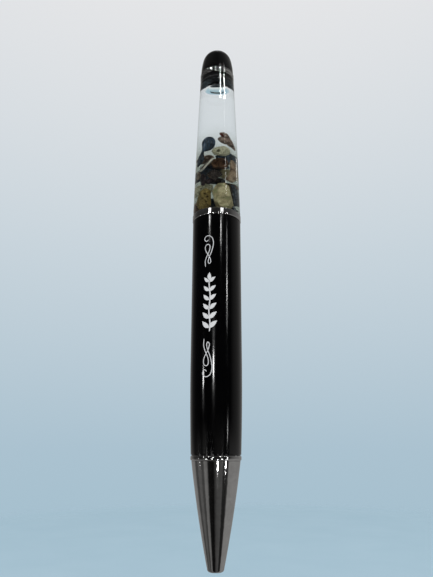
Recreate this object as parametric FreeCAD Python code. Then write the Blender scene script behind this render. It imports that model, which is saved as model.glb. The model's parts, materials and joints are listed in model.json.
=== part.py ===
import FreeCAD, Part
import math
import os

# Twist-action ballpoint pen with a clear, oil-filled chamber of shell chips in its upper half.
# Millimetres. The axis is Z, the tip is down, and the origin is the centre of the tip's end.
# -Y is the front, where the marks are.

V = FreeCAD.Vector
AXIS = V(0, 0, 1)
ORIGIN = V(0, 0, 0)

# Lengths along the axis
nose_length = 24.3
twist_gap = 0.1
ring_height = 1.8
chamber_length = 43.5
cap_ring_height = 2.0
cap_height = 8.0

# Outer radii
tip_radius = 1.9
nose_mid_radius = 4.23
nose_top_radius = 5.72
bead_radius = 5.95
barrel_low_radius = 5.9
barrel_radius = 6.3
centre_ring_radius = 6.4
chamber_low_radius = 6.3
chamber_top_radius = 4.8
cap_ring_radius = 4.85
cap_base_radius = 4.7
cap_crown_radius = 4.23

# Lengths and bulges of those outlines
tip_round = 0.6
nose_mid_height = 12.8
bead_height = 1.3
bead_round = 0.45
barrel_swell_height = 20.0
barrel_swell_bulge = 0.08
barrel_edge = 0.15
ring_round = 0.25
chamber_bulge = 0.09
cap_crown_angle = 12.0

# Fits: pieces fixed to each other, and pieces that slide or turn in each other
fixed_fit = 0.03
running_fit = 0.07

# Nose cone, inside
tip_bore_depth = 4.0
mid_bore_radius = 1.9
mid_bore_depth = 12.0
nose_bore_radius = 3.0
spigot_radius = 4.3
spigot_length = 6.2

# Barrel, inside
barrel_bore_radius = 5.2
bush_length = 6.6
bush_step = 0.1

# Refill
refill_length = 67.0
refill_radius = 1.175
refill_wall = 0.3
point_depth = 1.5
point_length = 2.4
point_shank_length = 4.0
point_end_radius = 0.42
ball_radius = 0.35
ball_held_share = 0.9
ink_top_gap = 8.57

# Twist mechanism
travel = 4.5
twist_angle = 180.0
opposite = 180.0
spring_length = 9.0
spring_turns = 7
spring_wire_radius = 0.2
spring_mean_radius = 1.8
guide_plate = 1.2
guide_flange_height = 4.0
guide_wall = 0.6
carrier_radius = 2.38
carrier_head = 4.6
socket_grip = 8.3
socket_end_gap = 0.1
pin_radius = 0.7
pin_above_socket = 2.6
pin_half_length = 4.3
slot_clearance = 0.1
cam_wall = 1.4
cam_bore_fit = 0.1
slot_overrun = 0.5
cam_collar_height = 2.0
cam_floor_gap = 0.3
guide_top_gap = 0.3
coupler_spigot_length = 2.7
coupler_body_height = 3.0
coupler_cup_radius = 4.7
coupler_floor = 0.4
coupler_cup_height = 3.3
coupler_top_gap = 0.2
stub_radius = 3.8
friction_ring_wire = 0.55
clip_height = 0.6
clip_depth = 0.35
clip_side_gap = 0.15
clip_opening = 4.0

# Clear chamber, inside
chamber_bore_low = 5.1
chamber_bore_top = 3.65
floor_drop = 0.7
neck_wall = 0.4
plug_depth = 1.8
plug_stem_radius = 2.6
plug_stem_length = 5.1
stem_end_gap = 0.2
seal_wire = 0.4
bubble_radius = 2.1
bubble_height = 4.2
wall_gap = 0.02

# Heights in the mechanism, worked up from the refill
refill_top = point_depth + refill_length
carrier_bottom = refill_top - socket_grip
socket_top = refill_top + socket_end_gap
pin_height = socket_top + pin_above_socket
carrier_top = socket_top + carrier_head
guide_bottom = carrier_bottom - spring_length - guide_plate
guide_bore_radius = carrier_radius + running_fit
guide_radius = guide_bore_radius + guide_wall
guide_top = carrier_top + guide_top_gap
cam_bore_radius = guide_radius + cam_bore_fit
cam_radius = cam_bore_radius + cam_wall
cam_collar_radius = barrel_bore_radius - running_fit
cam_bottom = guide_bottom + guide_flange_height + cam_floor_gap
coupler_bottom = guide_top + guide_top_gap
cam_top = coupler_bottom + coupler_spigot_length
coupler_shoulder = cam_top + coupler_body_height

# The barrel is as long as the cone, the refill and the mechanism need
barrel_bottom = nose_length
barrel_top = coupler_shoulder + coupler_cup_height + coupler_top_gap
barrel_length = barrel_top - barrel_bottom

# Heights of the joints above the barrel
ring_bottom = barrel_top + twist_gap
ring_top = ring_bottom + ring_height
chamber_top = ring_top + chamber_length
cap_ring_top = chamber_top + cap_ring_height
cap_top = cap_ring_top + cap_height
chamber_floor = ring_top - floor_drop
plug_bottom = chamber_top - plug_depth


class Outline:
    """Half section of a turned piece, as (radius, height) points joined by lines and arcs."""

    def __init__(self, radius, height):
        self.start = V(radius, 0, height)
        self.end = self.start
        self.edges = []

    def line(self, radius, height):
        target = V(radius, 0, height)
        self.edges.append(Part.makeLine(self.end, target))
        self.end = target
        return self

    def bulge(self, radius, height, rise):
        """An arc that stands out from its chord by rise, to the left of its direction."""
        target = V(radius, 0, height)
        chord = target - self.end
        side = V(-chord.z, 0, chord.x)
        side.normalize()
        middle = (self.end + target) * 0.5 + side * rise
        self.edges.append(Part.Arc(self.end, middle, target).toShape())
        self.end = target
        return self

    def through(self, mid_radius, mid_height, radius, height):
        target = V(radius, 0, height)
        self.edges.append(Part.Arc(self.end, V(mid_radius, 0, mid_height), target).toShape())
        self.end = target
        return self

    def turned(self):
        if self.end.distanceToPoint(self.start) > 1e-7:
            self.line(self.start.x, self.start.z)
        face = Part.Face(Part.Wire(self.edges))
        return face.revolve(ORIGIN, AXIS, 360)


def quarter_round(outline, radius, height, corner_radius, corner_height):
    """Rounds the corner at (corner_radius, corner_height) on the way to (radius, height)."""
    centre_r = outline.end.x + radius - corner_radius
    centre_z = outline.end.z + height - corner_height
    size = abs(radius - outline.end.x)
    reach = size / math.sqrt(2)
    away_r = math.copysign(reach, corner_radius - centre_r)
    away_z = math.copysign(reach, corner_height - centre_z)
    return outline.through(centre_r + away_r, centre_z + away_z, radius, height)


def tube(inner, outer, bottom, top):
    outside = Part.makeCylinder(outer, top - bottom, V(0, 0, bottom))
    return one_solid(outside.cut(Part.makeCylinder(inner, top - bottom, V(0, 0, bottom))))


def ring_of_wire(centre_radius, wire_radius, height):
    return Part.makeTorus(centre_radius, wire_radius, V(0, 0, height))


def one_solid(shape):
    """The single solid in the result of a cut or fuse."""
    solids = shape.removeSplitter().Solids
    return max(solids, key=lambda solid: solid.Volume)


# Lower half


def nose_cone():
    tip_bore = refill_radius + running_fit
    bead_low = nose_length - bead_height
    outline = Outline(tip_bore, 0)
    outline.line(tip_radius - tip_round, 0)
    quarter_round(outline, tip_radius, tip_round, tip_radius, 0)
    outline.through(nose_mid_radius, nose_mid_height, nose_top_radius, bead_low)
    outline.line(bead_radius - bead_round, bead_low)
    quarter_round(outline, bead_radius, bead_low + bead_round, bead_radius, bead_low)
    outline.line(bead_radius, nose_length - bead_round)
    quarter_round(outline, bead_radius - bead_round, nose_length, bead_radius, nose_length)
    outline.line(spigot_radius, nose_length)
    outline.line(spigot_radius, nose_length + spigot_length)
    outline.line(nose_bore_radius, nose_length + spigot_length)
    outline.line(nose_bore_radius, mid_bore_depth)
    outline.line(mid_bore_radius, mid_bore_depth - nose_bore_radius + mid_bore_radius)
    outline.line(mid_bore_radius, tip_bore_depth + mid_bore_radius - tip_bore)
    outline.line(tip_bore, tip_bore_depth)
    return outline.turned()


def thread_bush():
    bottom = barrel_bottom + bush_step
    outer = barrel_bore_radius - fixed_fit
    return tube(spigot_radius + fixed_fit, outer, bottom, bottom + bush_length)


def clip_groove_bottom():
    return coupler_shoulder + clip_side_gap


def barrel():
    swell_top = barrel_bottom + barrel_swell_height
    groove_low = clip_groove_bottom()
    groove_high = groove_low + clip_height + 2 * fixed_fit
    groove_radius = barrel_bore_radius + clip_depth + fixed_fit
    outline = Outline(barrel_bore_radius, barrel_bottom)
    outline.line(barrel_low_radius - barrel_edge, barrel_bottom)
    outline.line(barrel_low_radius, barrel_bottom + barrel_edge)
    outline.bulge(barrel_radius, swell_top, -barrel_swell_bulge)
    outline.line(barrel_radius, barrel_top - barrel_edge)
    outline.line(barrel_radius - barrel_edge, barrel_top)
    outline.line(barrel_bore_radius, barrel_top)
    outline.line(barrel_bore_radius, groove_high)
    outline.line(groove_radius, groove_high)
    outline.line(groove_radius, groove_low)
    outline.line(barrel_bore_radius, groove_low)
    return outline.turned()


def retaining_ring():
    """Open steel ring in the groove of the barrel's bore, above the coupler's shoulder."""
    bottom = clip_groove_bottom() + fixed_fit
    inner = coupler_cup_radius + running_fit
    ring = tube(inner, barrel_bore_radius + clip_depth, bottom, bottom + clip_height)
    opening = Part.makeBox(clip_opening, 2 * barrel_radius, clip_height * 3)
    opening.translate(V(-clip_opening / 2, 0, bottom - clip_height))
    return one_solid(ring.cut(opening))


def guide_slot_bottom():
    return pin_height - travel - pin_radius - slot_clearance


def guide_tube():
    """Fixed in the barrel: a plate under the spring, and a tube with two straight slots."""
    plate_hole = refill_radius + running_fit
    plate_top = guide_bottom + guide_plate
    flange_top = guide_bottom + guide_flange_height
    outline = Outline(plate_hole, guide_bottom)
    outline.line(barrel_bore_radius - fixed_fit, guide_bottom)
    outline.line(barrel_bore_radius - fixed_fit, flange_top)
    outline.line(guide_radius, flange_top)
    outline.line(guide_radius, guide_top)
    outline.line(guide_bore_radius, guide_top)
    outline.line(guide_bore_radius, plate_top)
    outline.line(plate_hole, plate_top)
    half_width = pin_radius + slot_clearance
    slot_height = travel + 2 * half_width
    slot = Part.makeBox(4 * guide_radius, 2 * half_width, slot_height)
    slot.translate(V(-2 * guide_radius, -half_width, guide_slot_bottom()))
    return one_solid(outline.turned().cut(slot))


def return_spring():
    low = guide_bottom + guide_plate + spring_wire_radius + fixed_fit
    rise = spring_length - 2 * (spring_wire_radius + fixed_fit)
    helix = Part.makeHelix(rise / spring_turns, rise, spring_mean_radius)
    section = Part.makeCircle(spring_wire_radius, V(spring_mean_radius, 0, 0), V(0, 1, 0))
    wire = Part.Wire(helix).makePipeShell([Part.Wire(section)], True, True)
    wire.translate(V(0, 0, low))
    return Part.Solid(wire) if wire.ShapeType == "Shell" else wire.Solids[0]


# Refill and its carrier, which slide together


def refill_tube():
    return tube(
        refill_radius - refill_wall, refill_radius, point_depth + point_length, refill_top
    )


def ink_column():
    bottom = point_depth + point_length + point_shank_length + fixed_fit
    radius = refill_radius - refill_wall - fixed_fit
    length = refill_top - ink_top_gap - bottom
    return Part.makeCylinder(radius, length, V(0, 0, bottom))


def refill_tip():
    """Nickel point: a cone that holds the ball, and a shank inside the tube."""
    shank = refill_radius - refill_wall - fixed_fit
    seat_height = point_depth + ball_radius * ball_held_share
    cone_top = point_depth + point_length
    outline = Outline(0, seat_height)
    outline.line(point_end_radius, seat_height)
    outline.line(refill_radius, cone_top)
    outline.line(shank, cone_top)
    outline.line(shank, cone_top + point_shank_length)
    outline.line(0, cone_top + point_shank_length)
    ball_seat = Part.makeSphere(ball_radius + fixed_fit, V(0, 0, point_depth + ball_radius))
    return one_solid(outline.turned().cut(ball_seat))


def writing_ball():
    return Part.makeSphere(ball_radius, V(0, 0, point_depth + ball_radius))


def refill_carrier():
    body = Part.makeCylinder(carrier_radius, carrier_top - carrier_bottom, V(0, 0, carrier_bottom))
    socket_depth = socket_top - carrier_bottom
    socket = Part.makeCylinder(refill_radius + fixed_fit, socket_depth, V(0, 0, carrier_bottom))
    cross_radius = pin_radius + fixed_fit
    cross_start = V(-2 * carrier_radius, 0, pin_height)
    cross = Part.makeCylinder(cross_radius, 4 * carrier_radius, cross_start, V(1, 0, 0))
    return one_solid(body.cut(socket).cut(cross))


def drive_pin():
    start = V(-pin_half_length, 0, pin_height)
    return Part.makeCylinder(pin_radius, 2 * pin_half_length, start, V(1, 0, 0))


# Upper half: what turns


def helical_slot(start_angle):
    """Cutter for the path of one end of the pin, seen from the turning sleeve."""
    inner = cam_bore_radius - slot_overrun
    outer = cam_collar_radius + slot_overrun
    lead = travel * 360.0 / twist_angle
    slope = math.atan(lead / (2 * math.pi * cam_bore_radius))
    opening = 2 * (pin_radius + slot_clearance) / math.cos(slope)
    path_in = Part.makeHelix(lead, travel, inner)
    path_out = Part.makeHelix(lead, travel, outer)
    same_way = 1
    ramp = Part.makeRuledSurface(path_in.Edges[0], path_out.Edges[0], same_way)
    slot = ramp.extrude(V(0, 0, opening))
    slot.translate(V(0, 0, -opening / 2))
    for angle, height in ((0, 0), (twist_angle, travel)):
        turn = math.radians(angle)
        outward = V(math.cos(turn), math.sin(turn), 0)
        start = outward * inner + V(0, 0, height)
        end_hole = Part.makeCylinder(pin_radius + slot_clearance, outer - inner, start, outward)
        slot = slot.fuse(end_hole)
    slot.rotate(ORIGIN, AXIS, start_angle)
    slot.translate(V(0, 0, pin_height - travel))
    return slot


def cam_sleeve():
    outline = Outline(cam_bore_radius, cam_bottom)
    outline.line(cam_collar_radius, cam_bottom)
    outline.line(cam_collar_radius, cam_bottom + cam_collar_height)
    outline.line(cam_radius, cam_bottom + cam_collar_height)
    outline.line(cam_radius, cam_top - cam_collar_height)
    outline.line(cam_collar_radius, cam_top - cam_collar_height)
    outline.line(cam_collar_radius, cam_top)
    outline.line(cam_bore_radius, cam_top)
    sleeve = outline.turned()
    for start_angle in (-twist_angle, opposite - twist_angle):
        sleeve = sleeve.cut(helical_slot(start_angle))
    return one_solid(sleeve)


def friction_ring_height():
    return cam_top + coupler_body_height / 2


def coupler():
    """Plugged into the cam sleeve below, and a cup for the chamber's stub above."""
    cup_floor = coupler_shoulder + coupler_floor
    cup_top = coupler_shoulder + coupler_cup_height
    cup_bore = stub_radius + fixed_fit
    outline = Outline(0, coupler_bottom)
    outline.line(cam_bore_radius - fixed_fit, coupler_bottom)
    outline.line(cam_bore_radius - fixed_fit, cam_top)
    outline.line(cam_collar_radius, cam_top)
    outline.line(cam_collar_radius, coupler_shoulder)
    outline.line(coupler_cup_radius, coupler_shoulder)
    outline.line(coupler_cup_radius, cup_top)
    outline.line(cup_bore, cup_top)
    outline.line(cup_bore, cup_floor)
    outline.line(0, cup_floor)
    groove_radius = barrel_bore_radius - fixed_fit - friction_ring_wire
    groove = ring_of_wire(groove_radius, friction_ring_wire + fixed_fit, friction_ring_height())
    return one_solid(outline.turned().cut(groove))


def friction_ring():
    centre = barrel_bore_radius - fixed_fit - friction_ring_wire
    return ring_of_wire(centre, friction_ring_wire, friction_ring_height())


def neck_radius():
    return chamber_bore_low + neck_wall


def centre_ring():
    inner = neck_radius() + fixed_fit
    outline = Outline(inner, ring_bottom)
    outline.line(centre_ring_radius - ring_round, ring_bottom)
    quarter_round(
        outline, centre_ring_radius, ring_bottom + ring_round, centre_ring_radius, ring_bottom
    )
    outline.line(centre_ring_radius, ring_top - ring_round)
    quarter_round(
        outline, centre_ring_radius - ring_round, ring_top, centre_ring_radius, ring_top
    )
    outline.line(inner, ring_top)
    return outline.turned()


def chamber_vial():
    """Clear chamber: closed at the bottom with a stub for the coupler, open at the top."""
    stub_bottom = coupler_shoulder + coupler_floor + fixed_fit
    outline = Outline(0, stub_bottom)
    outline.line(stub_radius, stub_bottom)
    outline.line(stub_radius, ring_bottom)
    outline.line(neck_radius(), ring_bottom)
    outline.line(neck_radius(), ring_top)
    outline.line(chamber_low_radius, ring_top)
    outline.bulge(chamber_top_radius, chamber_top, -chamber_bulge)
    outline.line(chamber_bore_top, chamber_top)
    outline.line(chamber_bore_low, ring_top)
    outline.line(chamber_bore_low, chamber_floor)
    outline.line(0, chamber_floor)
    return outline.turned()


def bore_radius(height):
    share = (height - ring_top) / chamber_length
    return chamber_bore_low + share * (chamber_bore_top - chamber_bore_low)


def air_bubble():
    """Bubble under the plug, flattened against it."""
    ball = Part.makeSphere(bubble_radius)
    stretch = FreeCAD.Matrix()
    stretch.scale(1, 1, bubble_height / (2 * bubble_radius))
    bubble = ball.transformGeometry(stretch)
    bubble.translate(V(0, 0, plug_bottom - wall_gap - bubble_height / 2))
    return bubble


def filling_oil(contents):
    low = chamber_floor + wall_gap
    high = plug_bottom - wall_gap
    outline = Outline(0, low)
    outline.line(chamber_bore_low - wall_gap, low)
    outline.line(chamber_bore_low - wall_gap, ring_top)
    outline.line(bore_radius(high) - wall_gap, high)
    outline.line(0, high)
    oil = outline.turned().cut(air_bubble())
    return one_solid(oil.cut(list(contents)))


def upper_plug():
    radius = chamber_bore_top - fixed_fit
    outline = Outline(0, plug_bottom)
    outline.line(radius, plug_bottom)
    outline.line(radius, chamber_top)
    outline.line(plug_stem_radius, chamber_top)
    outline.line(plug_stem_radius, chamber_top + plug_stem_length)
    outline.line(0, chamber_top + plug_stem_length)
    groove = ring_of_wire(radius - seal_wire, seal_wire + fixed_fit, seal_height())
    return one_solid(outline.turned().cut(groove))


def seal_height():
    return plug_bottom + plug_depth / 2


def plug_seal():
    return ring_of_wire(chamber_bore_top - fixed_fit - seal_wire, seal_wire, seal_height())


def cap_ring():
    """Two round beads with a narrow groove between them."""
    bead = cap_ring_height / 2
    crest = bead / 2.5
    inner = plug_stem_radius + fixed_fit
    valley = cap_ring_radius - crest
    outline = Outline(inner, chamber_top)
    outline.line(valley, chamber_top)
    outline.bulge(valley, chamber_top + bead, -crest)
    outline.bulge(valley, cap_ring_top, -crest)
    outline.line(inner, cap_ring_top)
    return outline.turned()


def end_cap():
    """Dome: a side arc that runs smoothly into a round crown, bored for the plug's stem."""
    turn = math.radians(cap_crown_angle)
    join_height = cap_top - cap_crown_radius * (1 - math.sin(turn))
    join_radius = cap_crown_radius * math.cos(turn)
    crown_half = (math.pi / 2 - turn) / 2 + turn
    crown_height = cap_top - cap_crown_radius * (1 - math.sin(crown_half))
    side = math.hypot(cap_base_radius - join_radius, join_height - cap_ring_top)
    side_bulge = side * math.tan(turn / 4) / 2
    bore = plug_stem_radius + fixed_fit
    bore_top = chamber_top + plug_stem_length + stem_end_gap
    outline = Outline(bore, cap_ring_top)
    outline.line(cap_base_radius, cap_ring_top)
    outline.bulge(join_radius, join_height, -side_bulge)
    outline.through(cap_crown_radius * math.cos(crown_half), crown_height, 0, cap_top)
    outline.line(0, bore_top)
    outline.line(bore, bore_top)
    return outline.turned()


# Chips, shells and coral. Their sizes and places are in chip units, which follow the bore:
# 5.1 units are its radius at the bottom, and heights count from the chamber's floor.

chip_unit = chamber_bore_low / 5.1
cutter_size = 30 * chip_unit
flake_prism = 16 * chip_unit
flake_half_space = 40 * chip_unit
facet_depth = 0.93
facet_unevenness = 0.07
whorl_shrink = 0.66
whorl_base = 0.45
whorl_start_width = 0.82
whorl_waist = 0.62
whorl_crest = 0.98
whorl_crest_height = 0.45
apex_share = 0.06
rib_hinge_radius = 0.12 * chip_unit
rib_rim_share = 0.11
rib_side_shortening = 0.12


def placed(shape, x, y, height, tilt=0, lean=0, turn=0):
    """Tilt about Y, lean about X, turn about Z, then move to its place in the chamber."""
    shape = shape.copy()
    shape.rotate(ORIGIN, V(0, 1, 0), tilt)
    shape.rotate(ORIGIN, V(1, 0, 0), lean)
    shape.rotate(ORIGIN, AXIS, turn)
    shape.translate(V(x * chip_unit, y * chip_unit, chamber_floor + height * chip_unit))
    return shape


def chop(shape, direction, distance):
    """Takes off what lies further than distance along direction."""
    half = cutter_size / 2
    beyond = Part.makeBox(cutter_size, cutter_size, cutter_size, V(-half, -half, 0))
    beyond.Placement = FreeCAD.Placement(direction * distance, FreeCAD.Rotation(AXIS, direction))
    return shape.cut(beyond)


def lump(width, depth, height, seed, facets=16):
    """Broken stone or coral: an uneven faceted lump that fits in the given size."""
    a, b, c = (0.5 * chip_unit * size for size in (width, depth, height))
    solid = Part.makeBox(2 * a, 2 * b, 2 * c, V(-a, -b, -c))
    golden_turn = math.pi * (3 - math.sqrt(5))
    for k in range(facets):
        up = 1 - (2 * k + 1) / facets
        flat = math.sqrt(1 - up * up)
        turn = golden_turn * k + seed
        way = V(flat * math.cos(turn), flat * math.sin(turn), up)
        support = math.sqrt((a * way.x) ** 2 + (b * way.y) ** 2 + (c * way.z) ** 2)
        unevenness = facet_unevenness * math.sin(seed * 7 + k * 2.3)
        solid = chop(solid, way, support * (facet_depth + unevenness))
    return one_solid(solid)


def pore(shape, x, z, radius, depth):
    """A round pore in the front of a lump, at (x, z) from its middle."""
    front = shape.BoundBox.YMin
    start = V(x * chip_unit, front - chip_unit, z * chip_unit)
    length = (1 + depth) * chip_unit
    return one_solid(shape.cut(Part.makeCylinder(radius * chip_unit, length, start, V(0, 1, 0))))


def flake(points, dish, thickness, smooth=False):
    """A chip of shell, convex to the front: the outline's part of a thin round dish."""
    corners = [V(x * chip_unit, -flake_prism / 2, z * chip_unit) for x, z in points]
    if smooth:
        curve = Part.BSplineCurve()
        curve.interpolate(Points=corners, PeriodicFlag=True)
        edge = Part.Wire(curve.toShape())
    else:
        edge = Part.makePolygon(corners + corners[:1])
    prism = Part.Face(edge).extrude(V(0, flake_prism, 0))
    outer = (dish + thickness / 2) * chip_unit
    inner = (dish - thickness / 2) * chip_unit
    centre = V(0, dish * chip_unit, 0)
    skin = Part.makeSphere(outer, centre, V(0, 1, 0)).cut(Part.makeSphere(inner, centre, V(0, 1, 0)))
    half = flake_half_space / 2
    front_half = Part.makeBox(flake_half_space, dish * chip_unit, flake_half_space)
    front_half.translate(V(-half, -thickness * chip_unit, -half))
    return one_solid(skin.common(front_half).common(prism))


def spiral_shell(radius, height, whorls, mouth=0.42):
    """A turned shell with rounded whorls that shrink to its point, and a mouth in front."""
    r, h = radius * chip_unit, height * chip_unit
    total = sum(whorl_shrink ** k for k in range(whorls))
    level = -h / 2
    width = r * whorl_start_width
    start = r * whorl_base
    outline = Outline(0, level)
    outline.line(start, level)
    for k in range(whorls):
        rise = h * whorl_shrink ** k / total
        end = width * whorl_waist if k < whorls - 1 else r * apex_share
        chord = (start + end) / 2
        crest = chord + (r * whorl_shrink ** k - chord) * whorl_crest
        outline.through(crest, level + rise * whorl_crest_height, end, level + rise)
        level += rise
        width *= whorl_shrink
        start = end
    outline.line(0, level)
    shell = outline.turned()
    hollow = Part.makeSphere(r * mouth, V(-r * 0.35, -r * 0.95, -h * 0.2))
    return one_solid(shell.cut(hollow))


def bowl_shell(radius, thickness, rim):
    """A cupped shell, open to the front; rim is how far the cup reaches past its middle."""
    outer, inner = radius * chip_unit, (radius - thickness) * chip_unit
    cup = Part.makeSphere(outer, ORIGIN, V(0, 1, 0)).cut(Part.makeSphere(inner, ORIGIN, V(0, 1, 0)))
    return one_solid(chop(cup, V(0, -1, 0), rim * chip_unit))


def ribbed_shell(length, spread, ribs, backward):
    """A fan of tapered ribs from a narrow hinge, its sides leaning back."""
    rim_radius = length * rib_rim_share * chip_unit
    fan = None
    for k in range(ribs):
        share = 2 * k / (ribs - 1) - 1
        turn = math.radians(share * spread)
        way = V(math.sin(turn), backward * share * share, math.cos(turn))
        reach = length * chip_unit * (1 - rib_side_shortening * share * share)
        rib = Part.makeCone(rib_hinge_radius, rim_radius, reach, ORIGIN, way)
        fan = rib if fan is None else fan.fuse(rib)
    return one_solid(fan)


def shell_contents():
    """What lies in the chamber, the front pieces first and then those behind them."""
    yellow = lump(2.9, 3.0, 7.6, 1.3)
    for x, z, size in ((-0.1, 1.6, 0.3), (0.55, 0.6, 0.26), (0.2, -0.9, 0.3), (-0.6, 0.1, 0.2)):
        yellow = pore(yellow, x, z, size, 1.0)
    pale = pore(lump(4.3, 2.4, 3.0, 4.1), -0.8, -0.3, 0.4, 1.1)
    paddle_outline = [
        (-0.6, -2.2), (0.9, -1.6), (1.5, 0.2), (0.8, 1.9), (-0.7, 2.0), (-1.6, 0.7),
        (-1.5, -1.4), (-2.3, -4.2), (-1.5, -5.6), (-0.8, -4.4),
    ]
    tan_outline = [(-1.2, -3.3), (0.4, -3.5), (1.3, -1.0), (1.0, 2.0), (0.2, 3.4), (-1.1, 1.8)]
    sliver_outline = [(-1.1, -3.1), (0.8, -2.6), (1.2, 0.4), (0.3, 3.2), (-1.0, 1.6)]
    chip_outline = [(-2.2, -2.0), (0.6, -2.7), (2.4, -0.6), (1.5, 2.3), (-1.2, 2.6)]
    small_outline = [(-1.7, -1.5), (1.2, -1.8), (1.9, 0.5), (0.2, 2.0), (-1.6, 1.0)]
    disc = [(2.2 * math.cos(t * math.pi / 4), 2.2 * math.sin(t * math.pi / 4)) for t in range(8)]
    contents = {
        "yellow_coral": placed(yellow, -2.6, -1.7, 4.15),
        "pale_stone": placed(lump(4.0, 3.2, 9.2, 2.2), 1.25, -2.0, 4.95, tilt=-7),
        "blue_green_sliver": placed(flake(sliver_outline, 5.0, 0.7), 3.9, -0.1, 6.3, tilt=-12, turn=72),
        "purple_sliver": placed(lump(1.1, 1.5, 3.9, 0.6, 10), -2.95, -2.0, 10.2),
        "ribbed_shell": placed(ribbed_shell(3.1, 34, 9, 0.3), -0.5, -3.15, 9.5, lean=-4),
        "banded_shell": placed(spiral_shell(0.95, 2.9, 3), -3.45, -0.2, 11.9, tilt=-8),
        "pale_disc": placed(flake(disc, 6.0, 0.4, True), -2.2, -1.1, 15.3, lean=-37, turn=-84),
        "bowl_shell": placed(bowl_shell(1.85, 0.45, 0.4), 0.65, -2.25, 14.9, lean=-20, turn=-10),
        "tan_flake": placed(flake(tan_outline, 5.0, 0.6), 3.6, -0.9, 13.7, turn=58),
        "pale_coral": placed(pale, 1.1, -2.35, 18.75, tilt=-6),
        "paua_paddle": placed(flake(paddle_outline, 8.0, 0.8, True), -1.8, -2.45, 21.1),
        "whelk_shell": placed(spiral_shell(1.75, 6.0, 4), 1.85, -1.2, 22.6, tilt=138),
        "back_paua_chip": placed(flake(chip_outline, 5.2, 0.9), 0.4, 3.4, 3.4, turn=180),
        "back_coral": placed(lump(3.0, 2.8, 3.8, 3.3), -2.0, 2.0, 8.6),
        "back_cockle": placed(ribbed_shell(3.3, 34, 9, 0.3), 1.7, 2.8, 7.4, turn=165),
        "back_stone": placed(lump(3.4, 2.8, 3.2, 5.0), 1.7, 1.9, 13.1),
        "back_paua_shard": placed(flake(small_outline, 4.2, 0.8), -1.5, 2.4, 13.2, turn=152),
        "back_turban_shell": placed(spiral_shell(1.6, 3.4, 3), -1.6, 1.6, 17.6, tilt=160),
        "back_paua_flake": placed(flake(small_outline, 4.6, 0.8), 1.4, 2.6, 18.1, turn=205),
    }
    # Broken bits in the gaps: place, then width, depth, height and tilt
    for k, (x, y, height, size, tilt) in enumerate((
        (0.0, 3.55, 11.45, (2.0, 1.9, 2.0), 56), (-0.15, 3.3, 15.9, (3.1, 1.5, 3.6), 20),
        (-2.75, 0.85, 3.2, (3.2, 1.5, 3.8), 27), (-1.1, 0.1, 10.4, (2.2, 1.3, 1.6), -26),
        (2.05, 1.0, 5.8, (2.2, 1.7, 2.6), 40),
    ), 1):
        contents[f"gap_chip_{k}"] = placed(lump(*size, k, 12), x, y, height, tilt=tilt)
    return contents


def pen():
    contents = shell_contents()
    pieces = {
        "nose_cone": nose_cone(),
        "thread_bush": thread_bush(),
        "barrel": barrel(),
        "retaining_ring": retaining_ring(),
        "guide_tube": guide_tube(),
        "return_spring": return_spring(),
        "refill_tube": refill_tube(),
        "ink_column": ink_column(),
        "refill_tip": refill_tip(),
        "writing_ball": writing_ball(),
        "refill_carrier": refill_carrier(),
        "drive_pin": drive_pin(),
        "cam_sleeve": cam_sleeve(),
        "coupler": coupler(),
        "friction_ring": friction_ring(),
        "centre_ring": centre_ring(),
        "chamber_vial": chamber_vial(),
        "filling_oil": filling_oil(contents.values()),
        "upper_plug": upper_plug(),
        "plug_seal": plug_seal(),
        "cap_ring": cap_ring(),
        "end_cap": end_cap(),
    }
    pieces.update(contents)
    return pieces


pieces = pen()
os.makedirs("parts", exist_ok=True)
for node, shape in pieces.items():
    shape.exportStep(f"parts/{node}.step")
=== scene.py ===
import json
import math
import bpy
from mathutils import Matrix, Vector, noise
from mathutils.bvhtree import BVHTree

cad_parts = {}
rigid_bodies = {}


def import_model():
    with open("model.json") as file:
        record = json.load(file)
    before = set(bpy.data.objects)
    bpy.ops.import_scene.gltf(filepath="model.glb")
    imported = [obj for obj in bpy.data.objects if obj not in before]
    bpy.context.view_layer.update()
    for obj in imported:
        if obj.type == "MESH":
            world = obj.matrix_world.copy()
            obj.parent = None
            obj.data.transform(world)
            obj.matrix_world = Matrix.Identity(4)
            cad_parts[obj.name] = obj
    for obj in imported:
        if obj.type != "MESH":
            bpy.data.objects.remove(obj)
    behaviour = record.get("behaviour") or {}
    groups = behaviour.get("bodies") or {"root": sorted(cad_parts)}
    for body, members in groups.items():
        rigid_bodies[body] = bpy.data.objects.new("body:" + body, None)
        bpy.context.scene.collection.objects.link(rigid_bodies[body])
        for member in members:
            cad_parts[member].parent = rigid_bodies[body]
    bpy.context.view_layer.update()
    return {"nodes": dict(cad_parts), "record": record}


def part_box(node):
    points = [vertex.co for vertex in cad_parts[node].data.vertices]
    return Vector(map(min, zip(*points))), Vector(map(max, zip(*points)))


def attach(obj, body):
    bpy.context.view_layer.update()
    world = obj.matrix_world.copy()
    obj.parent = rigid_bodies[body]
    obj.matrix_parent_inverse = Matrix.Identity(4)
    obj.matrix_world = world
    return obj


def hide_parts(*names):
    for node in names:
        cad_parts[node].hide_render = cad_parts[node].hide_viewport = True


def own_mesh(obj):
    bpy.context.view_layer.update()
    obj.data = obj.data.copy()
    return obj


# Twist pen with a clear chamber of shell chips
# Sizes are in millimetres, and MM turns them into metres
for leftover in list(bpy.data.objects):
    bpy.data.objects.remove(leftover)
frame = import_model()
MM = 0.001


def low(node):
    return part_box(node)[0] / MM


def high(node):
    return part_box(node)[1] / MM


# Heights and radii taken from the frame
cone_lip = low("barrel").z
barrel_radius = high("barrel").x
chamber_floor = low("filling_oil").z
plug_bottom = high("filling_oil").z
ring_top = high("centre_ring").z
chamber_top = low("cap_ring").z
spring_bottom = low("return_spring").z
spring_top = high("return_spring").z

# Camera: level with the cone's lip, close in front of the pen, looking up along it
camera_distance = 127.3
camera_tilt = 17.7
camera_lean = 0.18
camera_lens = 32.57
sensor = 36.0

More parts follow.
